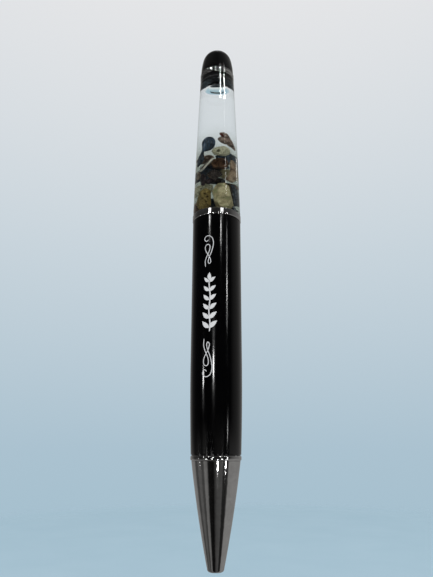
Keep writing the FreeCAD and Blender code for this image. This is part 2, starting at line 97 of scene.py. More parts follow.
# Chamber: its bore's radius at the ring and at the top, and half the thickness of its wall
bore_low = 5.1
bore_top = 3.65
half_wall = 0.2
acrylic_ior = 1.49

# Oil and its bubble; painted shade, a grey-green tint on what is seen through the oil low round the
# chips, fades out between two heights above the floor
oil_ior = 1.47
painted_shade_low = 16.0
painted_shade_high = 30.0
painted_shade_colour = (0.60, 0.615, 0.56, 1.0)
bubble_radius = 2.1
bubble_height = 4.2
bubble_bottom = plug_bottom - bubble_height

# Chips: their gap to the chamber's floor, the ribs of a fan-shaped shell and the disc's radius
floor_clearance = 0.02
fan_ribs = 9
disc_radius = 2.2


def srgb(red, green, blue):
    """A colour given as 0 to 255 display values, in linear light."""

    def linear(value):
        value /= 255
        return value / 12.92 if value <= 0.04045 else ((value + 0.055) / 1.055) ** 2.4

    return (linear(red), linear(green), linear(blue), 1.0)


def scaled(colour, share):
    """The colour made darker or paler."""
    return tuple(share * each for each in colour[:3]) + (1.0,)


# Shader graphs


class Graph:
    """Adds nodes to a shader tree. An input that is a socket is linked; any other value is set."""

    def __init__(self, tree):
        self.tree = tree
        tree.nodes.clear()

    def node(self, kind, settings=(), **inputs):
        made = self.tree.nodes.new("ShaderNode" + kind)
        for key, value in dict(settings).items():
            setattr(made, key, value)
        for key, value in inputs.items():
            self.feed(made.inputs[key.replace("_", " ")], value)
        return made

    def feed(self, socket, value):
        if isinstance(value, bpy.types.NodeSocket):
            self.tree.links.new(value, socket)
        else:
            socket.default_value = value

    def math(self, operation, first, second=0.0):
        made = self.node("Math", {"operation": operation})
        self.feed(made.inputs[0], first)
        self.feed(made.inputs[1], second)
        return made.outputs[0]

    def above(self, value, limit):
        return self.math("GREATER_THAN", value, limit)

    def below(self, value, limit):
        return self.math("LESS_THAN", value, limit)

    def place(self, scale=1.0, stretch=(1, 1, 1), turn=(0, 0, 0), shift=(0, 0, 0)):
        """Where on the piece, in millimetres times scale, stretched, turned and shifted."""
        where = self.node("TexCoord").outputs["Object"]
        size = tuple(scale * each / MM for each in stretch)
        turned = tuple(math.radians(each) for each in turn)
        return self.node(
            "Mapping", Vector=where, Scale=size, Rotation=turned, Location=shift
        ).outputs[0]

    def noise(self, where, scale=1.0, detail=4.0, rough=0.55, warp=0.0):
        return self.node(
            "TexNoise", Vector=where, Scale=scale, Detail=detail, Roughness=rough, Distortion=warp
        ).outputs["Fac"]

    def cells(self, where, scale=1.0, feature="F1"):
        return self.node("TexVoronoi", {"feature": feature}, Vector=where, Scale=scale).outputs[
            "Distance"
        ]

    def wave(self, where, scale=1.0, warp=2.0, detail=3.0, direction="X"):
        settings = {"bands_direction": direction}
        return self.node(
            "TexWave", settings, Vector=where, Scale=scale, Distortion=warp, Detail=detail
        ).outputs["Fac"]

    def ramp(self, factor, *stops):
        """Colours by factor; each stop is (place, colour)."""
        made = self.node("ValToRGB", Fac=factor)
        elements = made.color_ramp.elements
        while len(elements) < len(stops):
            elements.new(0.5)
        for element, (place, colour) in zip(elements, stops):
            element.position = place
            element.color = colour
        return made.outputs[0]

    def level(self, factor, from_low, from_high, to_low=0.0, to_high=1.0):
        made = self.node("MapRange", {"interpolation_type": "SMOOTHSTEP"}, Value=factor)
        for key, value in zip((1, 2, 3, 4), (from_low, from_high, to_low, to_high)):
            made.inputs[key].default_value = value
        return made.outputs[0]

    def mix(self, factor, first, second, blend="MIX"):
        made = self.node("Mix", {"data_type": "RGBA", "blend_type": blend})
        self.feed(made.inputs[0], factor)
        self.feed(made.inputs[6], first)
        self.feed(made.inputs[7], second)
        return made.outputs[2]

    def bump(self, height, distance):
        return self.node("Bump", Height=height, Distance=distance * MM, Strength=1.0).outputs[0]

    def either(self, factor, first, second):
        made = self.node("MixShader")
        self.feed(made.inputs[0], factor)
        self.feed(made.inputs[1], first)
        self.feed(made.inputs[2], second)
        return made.outputs[0]

    def surface(self, shader):
        self.feed(self.node("OutputMaterial").inputs["Surface"], shader)


def material(name):
    made = bpy.data.materials.new(name)
    made.use_nodes = True
    return made, Graph(made.node_tree)


def finished(name, graph, colour, rough, normal=None, **sockets):
    """Ends a material with one Principled shader."""
    shader = graph.node("BsdfPrincipled", Base_Color=colour, Roughness=rough, **sockets)
    if normal is not None:
        graph.feed(shader.inputs["Normal"], normal)
    graph.surface(shader.outputs[0])
    return bpy.data.materials[name]


# Materials of the pen's own pieces


def metal(name, dark, pale, rough, streak=0.0):
    """Metal with faint smears; streak is the depth of its turning marks in millimetres."""
    made, graph = material(name)
    smears = graph.noise(graph.place(0.35), 1.0, 6.0, 0.6, 0.8)
    colour = graph.ramp(smears, (0.3, dark), (0.75, pale))
    gloss = graph.level(smears, 0.35, 0.8, rough * 0.75, rough * 1.35)
    normal = None
    if streak:
        turning = graph.noise(graph.place(1.0, (0.05, 0.05, 22.0)), 1.0, 2.0)
        normal = graph.bump(turning, streak)
    return finished(made.name, graph, colour, gloss, normal, Metallic=1.0)


def lacquer(name, colour, rough, shine=0.5):
    """Black under a hard clear coat, with faint finger marks and hairlines in the coat."""
    made, graph = material(name)
    marks = graph.noise(graph.place(0.4, (1, 1, 0.5)), 1.0, 5.0, 0.6, 0.6)
    hairs = graph.noise(graph.place(1.0, (4, 4, 0.12), (12, 5, 0)), 3.0, 2.0)
    tone = graph.ramp(marks, (0.35, colour), (0.8, scaled(colour, 1.35)))
    gloss = graph.level(marks, 0.3, 0.8, rough * 0.8, rough * 1.5)
    normal = graph.bump(hairs, 0.0006)
    return finished(made.name, graph, tone, gloss, normal, Specular_IOR_Level=shine)


def moulded(name, colour, rough, grain=0.004):
    """Moulded plastic or rubber: a fine grain and a slight unevenness of colour."""
    made, graph = material(name)
    grains = graph.noise(graph.place(6.0), 1.0, 3.0)
    cloud = graph.noise(graph.place(0.5), 1.0, 3.0)
    return finished(
        made.name, graph, graph.ramp(cloud, (0.3, scaled(colour, 0.8)), (0.7, colour)),
        graph.level(grains, 0.2, 0.8, rough * 0.85, rough * 1.15), graph.bump(grains, grain),
    )


def see_through(graph, clear, glass, tint=(1, 1, 1, 1)):
    """Glass for what is looked at through it, and open to lamps and to soft light."""
    path = graph.node("LightPath")
    soft = graph.math("MAXIMUM", path.outputs["Is Shadow Ray"], path.outputs["Is Diffuse Ray"])
    open_share = graph.math("MAXIMUM", soft, clear)
    # Only what is seen through the glass takes the tint; lamps and soft light pass white, so a tint
    # here is painted shade
    seen = graph.mix(soft, tint, (1, 1, 1, 1))
    open_air = graph.node("BsdfTransparent", Color=seen).outputs[0]
    return graph.either(open_share, glass, open_air)


def axis_distance(graph, xyz):
    """How far a point lies from the pen's axis."""
    square = graph.math("MULTIPLY", xyz.outputs["X"], xyz.outputs["X"])
    other = graph.math("MULTIPLY", xyz.outputs["Y"], xyz.outputs["Y"])
    return graph.math("SQRT", graph.math("ADD", square, other))


def acrylic(name):
    """Clear wall. Its inner face is wet with oil of nearly the same index, so it doesn't show."""
    made, graph = material(name)
    xyz = graph.node("SeparateXYZ", Vector=graph.place())
    radius = axis_distance(graph, xyz)
    fall = (bore_low - bore_top) / (chamber_top - ring_top)
    up = graph.math("MAXIMUM", graph.math("SUBTRACT", xyz.outputs["Z"], ring_top), 0.0)
    middle = graph.math("SUBTRACT", bore_low + half_wall, graph.math("MULTIPLY", up, fall))
    inside = graph.below(radius, middle)
    wet = graph.math("MULTIPLY", inside, graph.above(xyz.outputs["Z"], chamber_floor - 0.1))
    smears = graph.noise(graph.place(0.6), 1.0, 5.0, 0.6, 0.5)
    glass = graph.node(
        "BsdfGlass", Color=(0.985, 0.99, 0.985, 1), IOR=acrylic_ior,
        Roughness=graph.level(smears, 0.45, 0.85, 0.0, 0.02),
    ).outputs[0]
    graph.surface(see_through(graph, wet, glass))
    return made


def oil(name):
    """Clear oil, tinted low round the chips with painted shade. Only its face towards the bubble
    shows.
    """
    made, graph = material(name)
    xyz = graph.node("SeparateXYZ", Vector=graph.place())
    radius = axis_distance(graph, xyz)
    near = graph.below(radius, bubble_radius + half_wall)
    top = graph.above(xyz.outputs["Z"], bubble_bottom - half_wall)
    under_plug = graph.below(xyz.outputs["Z"], plug_bottom - 0.005)
    bubble_face = graph.math("MULTIPLY", graph.math("MULTIPLY", near, top), under_plug)
    tint = graph.noise(graph.place(0.2), 1.0, 2.0)
    colour = graph.ramp(tint, (0.3, (0.97, 0.985, 0.96, 1)), (0.7, (0.985, 0.99, 0.98, 1)))
    glass = graph.node("BsdfGlass", Color=colour, IOR=oil_ior, Roughness=0.0).outputs[0]
    cloud = graph.noise(graph.place(0.3), 1.0, 3.0)
    height = graph.math("ADD", xyz.outputs["Z"], graph.math("MULTIPLY", cloud, 4.0))
    # Painted shade: low in the chamber, what is seen through the oil is tinted darker grey-green,
    # standing in for the shade between the chips
    painted_shade_fade = graph.level(height, chamber_floor + painted_shade_low, chamber_floor + painted_shade_high)
    painted_shade = graph.mix(painted_shade_fade, painted_shade_colour, (1, 1, 1, 1))
    graph.surface(see_through(graph, graph.math("SUBTRACT", 1.0, bubble_face), glass, painted_shade))
    return made


def ink(name):
    made, graph = material(name)
    depth = graph.noise(graph.place(0.8), 1.0, 2.0)
    colour = graph.ramp(depth, (0.3, srgb(8, 10, 60)), (0.7, srgb(16, 24, 96)))
    return finished(made.name, graph, colour, 0.2)


# Materials of the shells, corals and stones


def coral(name, deep, mid, pale, scale=2.2):
    """Porous limestone, darker in its pores with painted shade."""
    made, graph = material(name)
    where = graph.place(scale)
    pores = graph.cells(where, 1.6, "SMOOTH_F1")
    grain = graph.noise(where, 2.5, 6.0, 0.65)
    tone = graph.ramp(grain, (0.3, deep), (0.5, mid), (0.72, pale))
    # Painted shade: the colour turns to the deep tone in the pores' hollows
    colour = graph.mix(graph.level(pores, 0.12, 0.34, 0.75, 0.0), tone, deep)
    height = graph.math("ADD", graph.level(pores, 0.1, 0.4), graph.math("MULTIPLY", grain, 0.5))
    return finished(
        made.name, graph, colour, graph.level(grain, 0.2, 0.8, 0.5, 0.75), graph.bump(height, 0.05),
        Specular_IOR_Level=0.1,
    )


def stone(name, deep, mid, pale, stain):
    """Weathered shell stone: clouds of tone, fine cracks and a green or rusty stain."""
    made, graph = material(name)
    cloud = graph.noise(graph.place(0.55), 1.0, 6.0, 0.6, 0.7)
    grain = graph.noise(graph.place(3.0), 1.0, 5.0, 0.65)
    stains = graph.noise(graph.place(0.5, shift=(4, 2, 7)), 1.0, 3.0, 0.5, 1.0)
    cracks = graph.cells(graph.place(0.9), 1.0, "DISTANCE_TO_EDGE")
    tone = graph.ramp(cloud, (0.3, deep), (0.5, mid), (0.68, pale))
    tone = graph.mix(graph.level(stains, 0.52, 0.72, 0.0, 0.7), tone, stain)
    tone = graph.mix(graph.level(cracks, 0.0, 0.05, 0.45, 0.0), tone, deep)
    height = graph.math("ADD", cloud, graph.math("MULTIPLY", grain, 0.3))
    return finished(
        made.name, graph, tone, graph.level(grain, 0.2, 0.8, 0.42, 0.7), graph.bump(height, 0.06),
        Specular_IOR_Level=0.12,
    )


def nacre(name, base, sheens, seam, scale=1.0, shine=0.2):
    """Paua: colours that flow in long streaks, dark growth seams and a pearly gloss."""
    made, graph = material(name)
    where = graph.place(scale, (1, 1, 0.4), (0, 24, 8))
    flow = graph.noise(where, 0.8, 5.0, 0.6, 1.2)
    seams = graph.noise(graph.place(scale, (2.4, 2.4, 0.35), (0, 18, 0)), 1.0, 3.0, 0.5, 1.5)
    fine = graph.noise(graph.place(3.0 * scale, (1, 1, 0.4), (0, 24, 8)), 1.0, 5.0)
    span = 0.32 / len(sheens)
    stops = [(0.3, base)] + [(0.42 + span * k, each) for k, each in enumerate(sheens)]
    tone = graph.ramp(flow, *stops)
    tone = graph.mix(graph.level(seams, 0.36, 0.5, 0.9, 0.0), tone, seam)
    tone = graph.mix(graph.level(fine, 0.5, 0.72, 0.0, 0.5), tone, sheens[-1])
    height = graph.math("ADD", graph.math("MULTIPLY", fine, 0.5), seams)
    return finished(
        made.name, graph, tone, graph.level(fine, 0.2, 0.8, 0.28, 0.5), graph.bump(height, 0.03),
        Metallic=0.1, Specular_IOR_Level=shine, Coat_Weight=0.05, Coat_Roughness=0.2,
    )


def shell(name, deep, mid, pale, across=2.4, along=0.5, turn=0.0):
    """Sea shell: soft growth bands with blotches, fine lines across and worn paler patches."""
    made, graph = material(name)
    lines = graph.noise(graph.place(across, (1, 1, 0.15), (0, turn, 0)), 1.0, 3.0, 0.5, 0.3)
    growth = graph.wave(graph.place(along, turn=(0, turn, 0)), 1.0, 4.5, 3.0, "Z")
    blotch = graph.noise(graph.place(0.75), 1.0, 5.0, 0.6, 0.8)
    tone = graph.ramp(blotch, (0.32, deep), (0.5, mid), (0.68, pale))
    tone = graph.mix(graph.level(growth, 0.1, 0.7, 0.4, 0.0), tone, deep)
    tone = graph.mix(graph.level(lines, 0.5, 0.7, 0.0, 0.5), tone, pale)
    height = graph.math("ADD", lines, graph.math("MULTIPLY", growth, 0.6))
    return finished(
        made.name, graph, tone, graph.level(blotch, 0.2, 0.8, 0.38, 0.6), graph.bump(height, 0.04),
        Specular_IOR_Level=0.12,
    )


def fan_shell(name, hinge, ribs, spread, valley, crest):
    """A ribbed valve: pale crests and valleys darkened with painted shade, running from the hinge,
    crossed by growth.
    """
    made, graph = material(name)
    shift = tuple(-each for each in hinge)
    out = graph.node("SeparateXYZ", Vector=graph.place(shift=shift))
    turn = graph.math("ARCTAN2", out.outputs["X"], out.outputs["Z"])
    pitch = math.radians(2 * spread / (ribs - 1))
    cosine = graph.math("COSINE", graph.math("MULTIPLY", turn, 2 * math.pi / pitch))
    worn = graph.noise(graph.place(1.4), 1.0, 5.0, 0.6, 0.4)
    reach = graph.node("VectorMath", {"operation": "LENGTH"}, Vector=graph.place(shift=shift))
    growth = graph.math("SINE", graph.math("MULTIPLY", reach.outputs["Value"], 7.5))
    crests = graph.math("ADD", graph.math("MULTIPLY", cosine, 0.5), 0.5)
    # Painted shade: the valleys between the ribs take the dark valley colour; growth bands and worn
    # patches below are the shell's own darker tone
    tone = graph.ramp(crests, (0.35, valley), (0.8, crest))
    tone = graph.mix(graph.level(worn, 0.38, 0.58, 0.7, 0.0), tone, valley)
    tone = graph.mix(graph.level(growth, 0.2, 0.9, 0.0, 0.35), tone, valley)
    height = graph.math("ADD", growth, worn)
    return finished(
        made.name, graph, tone, graph.level(worn, 0.2, 0.8, 0.4, 0.65), graph.bump(height, 0.03),
        Specular_IOR_Level=0.1,
    )


def thin_disc(name, middle, radius, face, rim):
    """A flat valve whose face is darkened with painted shade, paler and brighter towards its rim.
    """
    made, graph = material(name)
    shift = tuple(-each for each in middle)
    reach = graph.node("VectorMath", {"operation": "LENGTH"}, Vector=graph.place(shift=shift))
    cloud = graph.noise(graph.place(1.3), 1.0, 4.0, 0.6, 0.5)
    edge = graph.math("ADD", reach.outputs["Value"], graph.math("MULTIPLY", cloud, 0.3))
    # Painted shade: the face is dark and only the rim is pale
    tone = graph.mix(graph.level(edge, 0.88 * radius, 1.1 * radius), face, rim)
    tone = graph.mix(graph.level(cloud, 0.3, 0.6, 0.4, 0.0), tone, face)
    rings = graph.math("SINE", graph.math("MULTIPLY", reach.outputs["Value"], 9.0))
    return finished(
        made.name, graph, tone, graph.level(cloud, 0.2, 0.8, 0.35, 0.55), graph.bump(rings, 0.02),
        Specular_IOR_Level=0.3,
    )


def paint(name):
    """White marks on the barrel, a little uneven at their edges."""
    made, graph = material(name)
    grain = graph.noise(graph.place(5.0), 1.0, 4.0)
    colour = graph.ramp(grain, (0.3, srgb(196, 200, 204)), (0.6, srgb(232, 234, 236)))
    return finished(made.name, graph, colour, 0.5, graph.bump(grain, 0.006))


finishes = {
    "chrome_trim": metal("chrome_trim", (0.40, 0.40, 0.40, 1), (0.52, 0.52, 0.52, 1), 0.06),
    "black_lacquer": lacquer("black_lacquer", (0.0007, 0.0007, 0.0009, 1), 0.09),
    "black_gloss": lacquer("black_gloss", (0.0012, 0.0012, 0.0015, 1), 0.07),
    "brass_insert": metal("brass_insert", (0.42, 0.27, 0.09, 1), (0.62, 0.44, 0.17, 1), 0.3, 0.004),
    "nickel": metal("nickel", (0.45, 0.43, 0.38, 1), (0.6, 0.57, 0.5, 1), 0.2, 0.003),
    "steel": metal("steel", (0.4, 0.4, 0.41, 1), (0.6, 0.6, 0.61, 1), 0.25, 0.003),
    "white_nylon": moulded("white_nylon", (0.72, 0.71, 0.67, 1), 0.45),
    "black_nylon": moulded("black_nylon", (0.02, 0.02, 0.02, 1), 0.45),
    "seal_rubber": moulded("seal_rubber", (0.012, 0.012, 0.012, 1), 0.7, 0.01),
    "ink": ink("ink"),
    "clear_acrylic": acrylic("clear_acrylic"),
    "clear_oil": oil("clear_oil"),
    "ochre_coral": coral(
        "ochre_coral", srgb(36, 29, 14), srgb(114, 98, 55), srgb(158, 142, 89), 1.5
    ),
    "pale_stone": stone(
        "pale_stone", srgb(106, 99, 76), srgb(166, 157, 125), srgb(212, 205, 170),
        srgb(112, 124, 82),
    ),
    "pale_coral": coral(
        "pale_coral", srgb(58, 56, 45), srgb(164, 164, 141), srgb(210, 212, 189), 1.7
    ),
    "paua": nacre(
        "paua", srgb(7, 12, 17),
        (srgb(15, 28, 40), srgb(18, 44, 62), srgb(38, 56, 76), srgb(92, 102, 116)), srgb(4, 6, 10),
    ),
    "purple_shell": nacre(
        "purple_shell", srgb(9, 6, 11),
        (srgb(21, 14, 21), srgb(40, 28, 36), srgb(87, 70, 75)), srgb(5, 4, 6), 1.6, 0.1,
    ),
    "dark_shell": shell(
        "dark_shell", srgb(11, 9, 11), srgb(28, 25, 23), srgb(66, 58, 54), 2.6, 0.4
    ),
    "brown_shell": shell(
        "brown_shell", srgb(24, 16, 12), srgb(78, 56, 40), srgb(122, 90, 67), 2.0, 1.0, 60.0
    ),
    "banded_shell": shell(
        "banded_shell", srgb(44, 36, 33), srgb(89, 80, 70), srgb(176, 166, 152), 1.5, 1.3, 15.0
    ),
    "white_shell": shell(
        "white_shell", srgb(112, 110, 103), srgb(176, 176, 168), srgb(250, 250, 243), 1.2, 1.5, 35.0
    ),
    "tan_shell": shell(
        "tan_shell", srgb(80, 64, 52), srgb(146, 124, 104), srgb(190, 170, 146), 1.5, 0.7, 4.0
    ),
    "grey_shell": shell(
        "grey_shell", srgb(54, 43, 37), srgb(104, 88, 78), srgb(152, 138, 126), 1.6, 0.5, 48.0
    ),
}
marks_paint = paint("marks_paint")
mouth_lining = shell("mouth_lining", srgb(34, 8, 6), srgb(78, 24, 18), srgb(112, 52, 40), 1.0, 1.0)
worn_lining = shell("worn_lining", srgb(34, 26, 22), srgb(62, 50, 44), srgb(92, 78, 70), 1.0, 1.0)
plug_black = lacquer("plug_black", (0.0012, 0.0012, 0.0015, 1), 0.3, 0.08)

slot_of = {part["node"]: part["material_slot"] for part in frame["record"]["subparts"]}
for node, piece in frame["nodes"].items():
    for holder in piece.material_slots:
        holder.material = plug_black if node == "upper_plug" else finishes[slot_of[node]]


# Making pieces


def new_piece(name, mesh, body, slot=None, paints=None, smooth=True):
    """A piece from a mesh in millimetres."""
    mesh.transform(Matrix.Scale(MM, 4))
    mesh.name = name
    piece = bpy.data.objects.new(name, mesh)
    bpy.context.collection.objects.link(piece)
    mesh.materials.clear()
    for each in paints or [finishes[slot]]:
        mesh.materials.append(each)
    mesh.polygons.foreach_set("use_smooth", [smooth] * len(mesh.polygons))
    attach(piece, body)
    return piece


def mesh_of(points, faces):
    mesh = bpy.data.meshes.new("mesh")
    mesh.from_pydata([tuple(point) for point in points], [], faces)
    mesh.validate()
    mesh.update()
    return mesh


def tube_faces(rings, around):
    """Quads between rings of points; the caller closes the ends."""
    faces = []
    for ring in range(rings - 1):
        for k in range(around):
            step = (k + 1) % around
            first = ring * around
            faces.append((first + k, first + step, first + around + step, first + around + k))
    return faces


def remeshed(mesh, voxel):
    """One closed skin round a mesh in millimetres."""
    holder = bpy.data.objects.new("remesh", mesh)
    bpy.context.collection.objects.link(holder)
    skin = holder.modifiers.new("skin", "REMESH")
    skin.mode = "VOXEL"
    skin.voxel_size = voxel
    skin.use_smooth_shade = True
    bpy.context.view_layer.update()
    depsgraph = bpy.context.evaluated_depsgraph_get()
    result = bpy.data.meshes.new_from_object(holder.evaluated_get(depsgraph))
    bpy.data.objects.remove(holder)
    return result


def carved(mesh, relief):
    """Moves each point along its normal by relief(point), in millimetres."""
    mesh.update()
    normals = [vertex.normal.copy() for vertex in mesh.vertices]
    for vertex, normal in zip(mesh.vertices, normals):
        vertex.co += normal * relief(vertex.co)
    mesh.update()
    return mesh


def skin_of(node, voxel):
    """A fine closed skin with a CAD node's shape."""
    mesh = frame["nodes"][node].data.copy()
    mesh.transform(Matrix.Scale(1 / MM, 4))
    return remeshed(mesh, voxel)


# Reliefs: how far a point lies above the plain form, negative for hollows


def rough_stone(seed, depth=0.12):
    def relief(point):
        where = point + Vector((seed, seed * 2, 0))
        broad = noise.fractal(where * 0.8, 0.9, 2.1, 4)
        fine = noise.noise(where * 4.5)
        return depth * (0.9 * min(0.0, broad) - 0.15) + 0.02 * (fine - 1)

    return relief


def pitted(seed, depth=0.16, spacing=1.1):
    def relief(point):
        where = point / spacing + Vector((seed, 0, seed))
        gap = noise.voronoi(where)[0][0]
        pit = max(0.0, 1 - gap / 0.42)
        return -depth * pit * pit * (3 - 2 * pit) + 0.03 * noise.noise(point * 3.1) - 0.03

    return relief


def layered(origin, spacing=0.45, depth=0.05):
    """Growth steps round an origin, as on a chip of shell."""

    def relief(point):
        reach = (point - origin).length / spacing + 0.8 * noise.noise(point * 0.7)
        step = reach - math.floor(reach)
        return depth * (step - 1.0) + 0.02 * noise.noise(point * 2.6)

    return relief


def middle_of(node):
    lowest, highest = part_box(node)
    return (lowest + highest) / 2 / MM


def chip(node, voxel, relief, paints=None):
    """The finely carved chip that stands for a plain solid."""
    mesh = carved(skin_of(node, voxel), relief)
    piece = new_piece(node + "_relief", mesh, "upper_half", slot_of[node], paints)
    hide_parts(node)


def hinge_below(node, drop):
    """A point under the middle of a node, round which its layers have grown."""
    middle = middle_of(node)
    return Vector((middle.x, middle.y, low(node).z - drop))


gap_chips = sorted(node for node in frame["nodes"] if node.startswith("gap_chip"))
for node, seed, depth in (
    ("pale_stone", 1.0, 0.16), ("back_stone", 2.0, 0.14), ("purple_sliver", 3.0, 0.07),
    *((node, 7.0 + k, 0.1) for k, node in enumerate(gap_chips)),
):
    chip(node, 0.07, rough_stone(seed, depth))
for node, seed, depth, spacing in (
    ("yellow_coral", 4.0, 0.2, 1.0), ("pale_coral", 5.0, 0.14, 0.8), ("back_coral", 6.0, 0.18, 0.9),
):
    chip(node, 0.06, pitted(seed, depth, spacing))
for node in (
    "paua_paddle", "blue_green_sliver", "back_paua_chip", "back_paua_shard", "back_paua_flake",
    "tan_flake", "bowl_shell",
):
    chip(node, 0.06, layered(hinge_below(node, 1.5)))
disc_middle = middle_of("pale_disc")
# The disc's face colour is painted shade; the second colour is its pale rim
disc_shade_and_rim = (srgb(92, 84, 78), srgb(206, 204, 196))
disc_paint = thin_disc("pale_disc_face", disc_middle, disc_radius, *disc_shade_and_rim)
chip("pale_disc", 0.05, layered(disc_middle, 0.6, 0.03), [disc_paint])
for node, hinge, spread, valley, crest in (
    ("ribbed_shell", (-0.5, -3.15, 9.5), 34, srgb(8, 7, 8), srgb(88, 80, 77)),
    ("back_cockle", (1.7, 2.8, 7.4), 34, srgb(44, 33, 24), srgb(118, 98, 77)),
):
    root = Vector(hinge) + Vector((0, 0, chamber_floor - floor_clearance))
    fan_paint = fan_shell(node + "_ribs", root, fan_ribs, spread, valley, crest)
    chip(node, 0.055, layered(root, 0.38, 0.05), [fan_paint])


# Spiral shells
mouth_depth = 0.42
mouth_share = 0.78


def centre_of(points):
    return [sum(point[axis] for point in points) / len(points) for axis in range(3)]


def spiral_shell(radius, height, whorls, ribs, shrink=0.66, around=28, per_turn=56):
    """A whorled shell as one closed tube that shrinks to its point, with an open mouth in front."""
    points = []
    steps = whorls * per_turn
    total = 1 - shrink**whorls
    for k in range(steps + 1):
        turns = k / per_turn
        size = shrink**turns
        rise = height * size * (1 - shrink) / total
        level = height * (1 - size) / total - height / 2
        heading = math.pi - 2 * math.pi * turns
        rib = 1 + 0.05 * math.cos(2 * math.pi * turns * ribs)
        wide = 0.5 * radius * size
        open_share = min(1.0, 0.8 + 0.6 * turns)
        lip_share = min(1.0, 0.25 + 1.2 * turns)
        for j in range(around):
            turn = 2 * math.pi * j / around
            thread = 1 + 0.025 * math.cos(7 * turn)
            out = wide * (1 + open_share * math.cos(turn) * rib * thread)
            share = lip_share if math.sin(turn) < 0 else open_share
            up = level + rise * (0.45 + 0.62 * share * math.sin(turn) * rib)
            points.append((out * math.cos(heading), out * math.sin(heading), up))
    faces = tube_faces(steps + 1, around)
    mouth = Vector(centre_of(points[:around]))
    deep = mouth + Vector((0, mouth_depth * radius, 0))
    inner = [mouth + (Vector(point) - mouth) * mouth_share for point in points[:around]]
    start = len(points)
    outside = len(faces)
    points += inner + [deep]
    for j in range(around):
        step = (j + 1) % around
        faces.append((step, j, start + j, start + step))
        faces.append((start + step, start + j, start + around))
    tip = len(points)
    last = steps * around
    points.append(tuple(centre_of(points[last:last + around])))
    faces += [(last + j, last + (j + 1) % around, tip) for j in range(around)]
    mesh = mesh_of(points, faces)
    lined = range(outside + 1, outside + 2 * around, 2)
    return mesh, lined


def put(mesh, x, y, up, tilt, spin=0.0):
    """Spins about its own axis, tilts about Y and moves to its place above the chamber's floor."""
    move = Matrix.Translation((x, y, chamber_floor - floor_clearance + up))
    tilted = Matrix.Rotation(math.radians(tilt), 4, "Y")
    mesh.transform(move @ tilted @ Matrix.Rotation(math.radians(spin), 4, "Z"))
    return mesh


for node, shape, x, y, up, tilt, spin in (
    ("whelk_shell", (1.75, 6.0, 4, 11), 1.85, -1.2, 22.6, 138, 72),
    ("banded_shell", (0.95, 2.9, 3, 0), -3.45, -0.2, 11.9, -8, 200),
    ("back_turban_shell", (1.6, 3.4, 3, 9), -1.6, 1.6, 17.6, 160, 180),
):
    whorls, lined = spiral_shell(*shape)
    paints = [finishes[slot_of[node]], mouth_lining if node == "whelk_shell" else worn_lining]
    whorled = new_piece(
        node + "_whorls", put(whorls, x, y, up, tilt, spin), "upper_half", slot_of[node], paints
    )
    for index in lined:
        whorled.data.polygons[index].material_index = 1
    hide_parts(node)


# Oil: the chamber's filling, one body with the bubble as its only hollow


def turned(profile, around=96):
    """A turned skin from (radius, height) points, the first and last of them on the axis."""
    points = []
    inner = profile[1:-1]
    for radius, height in inner:
        for k in range(around):
            turn = 2 * math.pi * k / around
            points.append((radius * math.cos(turn), radius * math.sin(turn), height))
    faces = tube_faces(len(inner), around)
    first, last = len(points), len(points) + 1
    points += [(0, 0, profile[0][1]), (0, 0, profile[-1][1])]
    top = (len(inner) - 1) * around
    for k in range(around):
        step = (k + 1) % around
        faces.append((first, step, k))
        faces.append((last, top + k, top + step))
    return points, faces


def oil_body():
    gap = 0.02
    corner = 0.05
    narrowing = (bore_top - bore_low) * (plug_bottom - ring_top) / (chamber_top - ring_top)
    top_radius = bore_low - gap + narrowing
    outside = [
        (0, chamber_floor), (bore_low - gap - corner, chamber_floor),
        (bore_low - gap, chamber_floor + corner), (bore_low - gap, ring_top),
        (top_radius, plug_bottom - corner), (top_radius - corner, plug_bottom), (0, plug_bottom),
    ]
    points, faces = turned(outside)
    steps = 40
    middle = plug_bottom - bubble_height / 2
    bubble = []
    for k in range(steps + 1):
        turn = math.pi * k / steps - math.pi / 2
        up = math.sin(turn) * (bubble_height / 2 - 0.01)
        bubble.append((bubble_radius * math.cos(turn), middle + up))
    hollow, hollow_faces = turned(bubble)
    shift = len(points)
    points += hollow
    faces += [tuple(shift + each for each in reversed(face)) for face in hollow_faces]
    return mesh_of(points, faces)


oil_piece = new_piece("oil_with_bubble", oil_body(), "upper_half", "clear_oil")
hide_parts("filling_oil")


# Return spring: ground ends and an even coil, which moves with the lower half and keeps its length;
# the real spring is squeezed as the refill comes down


def spring_coil():
    wire = 0.2
    mean = 1.8
    turns = 7
    per_turn = 48
    around = 14
    bottom = spring_bottom + wire
    rise = spring_top - spring_bottom - 2 * wire
    points = []
    steps = turns * per_turn
    for k in range(steps + 1):
        turn = 2 * math.pi * k / per_turn
        centre = Vector((mean * math.cos(turn), mean * math.sin(turn), bottom + rise * k / steps))
        outward = Vector((math.cos(turn), math.sin(turn), 0))
        for j in range(around):
            spin = 2 * math.pi * j / around
            across = outward * wire * math.cos(spin)
            points.append(centre + across + Vector((0, 0, wire * math.sin(spin))))
    faces = [tuple(reversed(face)) for face in tube_faces(steps + 1, around)]
    faces.append(tuple(range(around)))
    faces.append(tuple(reversed(range(steps * around, (steps + 1) * around))))
    return mesh_of(points, faces)


coil = new_piece("spring_coil", spring_coil(), "lower_half", "steel")
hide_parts("return_spring")
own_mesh(coil)


# White marks on the barrel's front: two scrolls with a leaf sprig between them


def barrel_skin():
    source = frame["nodes"]["barrel"].data
    mesh = [vertex.co / MM for vertex in source.vertices]
    return BVHTree.FromPolygons(mesh, [tuple(face.vertices) for face in source.polygons])


skin = barrel_skin()
mark_lift = 0.02
mark_depth = 0.05


def on_barrel(across, height, lift):
    """The point at across millimetres round from the barrel's front, lifted off its skin."""
    turn = across / barrel_radius
    outward = Vector((math.sin(turn), -math.cos(turn), 0))
    start = outward * 3 * barrel_radius + Vector((0, 0, height))
    spot = skin.ray_cast(start, -outward)[0]
    return spot + outward * lift


